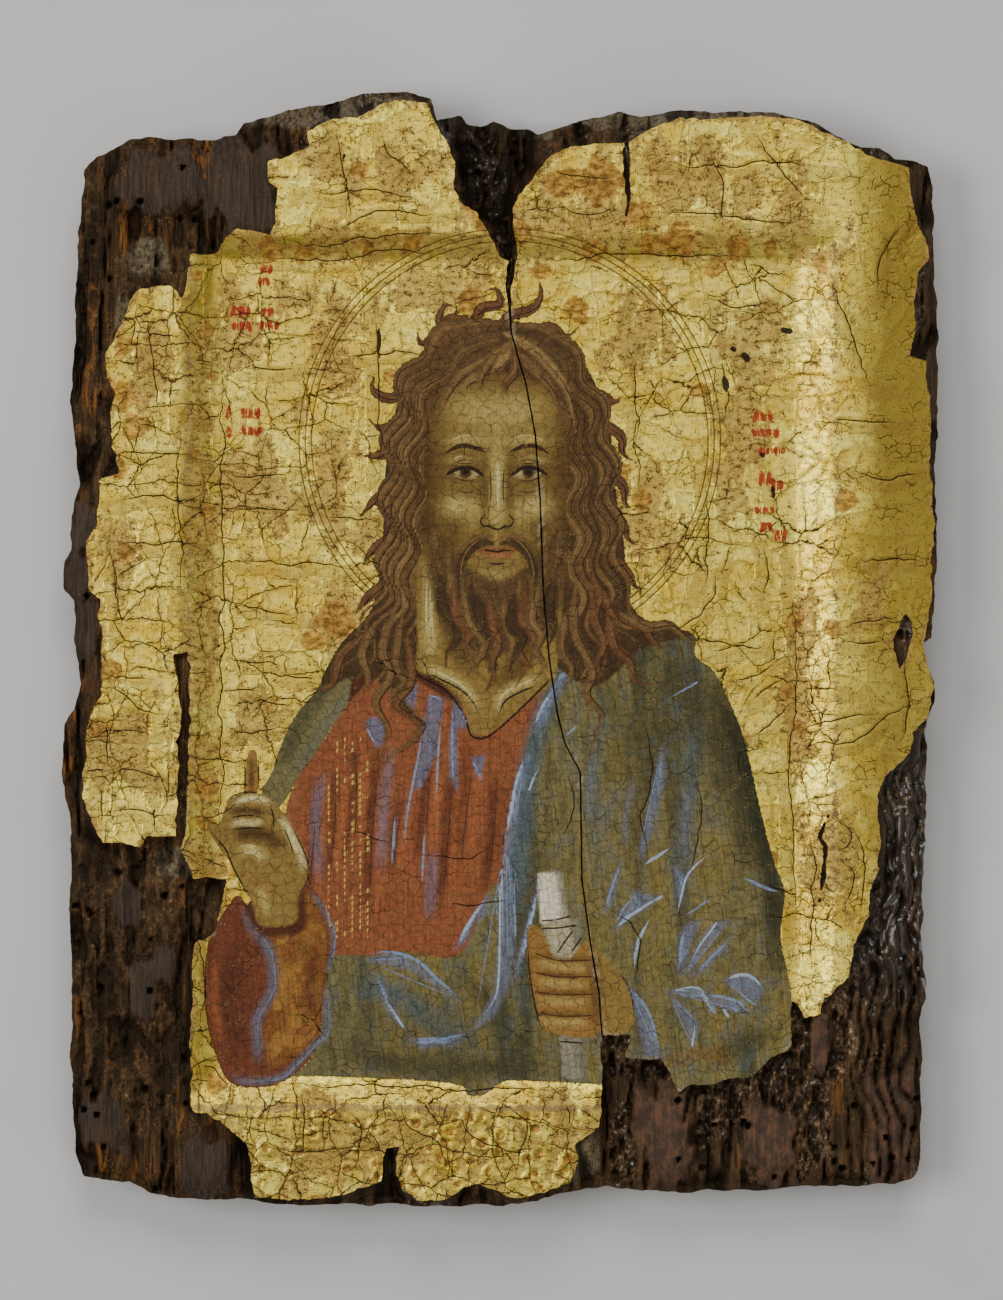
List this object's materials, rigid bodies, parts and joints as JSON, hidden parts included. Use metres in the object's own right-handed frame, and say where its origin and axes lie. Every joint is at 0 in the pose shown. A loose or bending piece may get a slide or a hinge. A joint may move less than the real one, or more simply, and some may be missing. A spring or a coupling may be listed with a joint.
{
  "type": "painted icon panel",
  "caption": "Old wooden panel with a sunk field and raised border, carrying cracked gilded gesso with a painted half-length figure; much ground lost to bare, worm-eaten wood.",
  "frame": {"origin": "middle of the panel's back face, on the surface that it lies on", "axes": "+Z out of the picture, +Y towards the picture's top, +X towards the picture's right as seen"},
  "size_m": [0.1976, 0.251, 0.022],
  "materials": {
    "dark_wood": "satin",
    "gilded_ground": "satin"
  },
  "bodies": {
    "root": {"wooden_board": "dark_wood", "gesso_left": "gilded_ground", "gesso_right": "gilded_ground"}
  },
  "joints": []
}
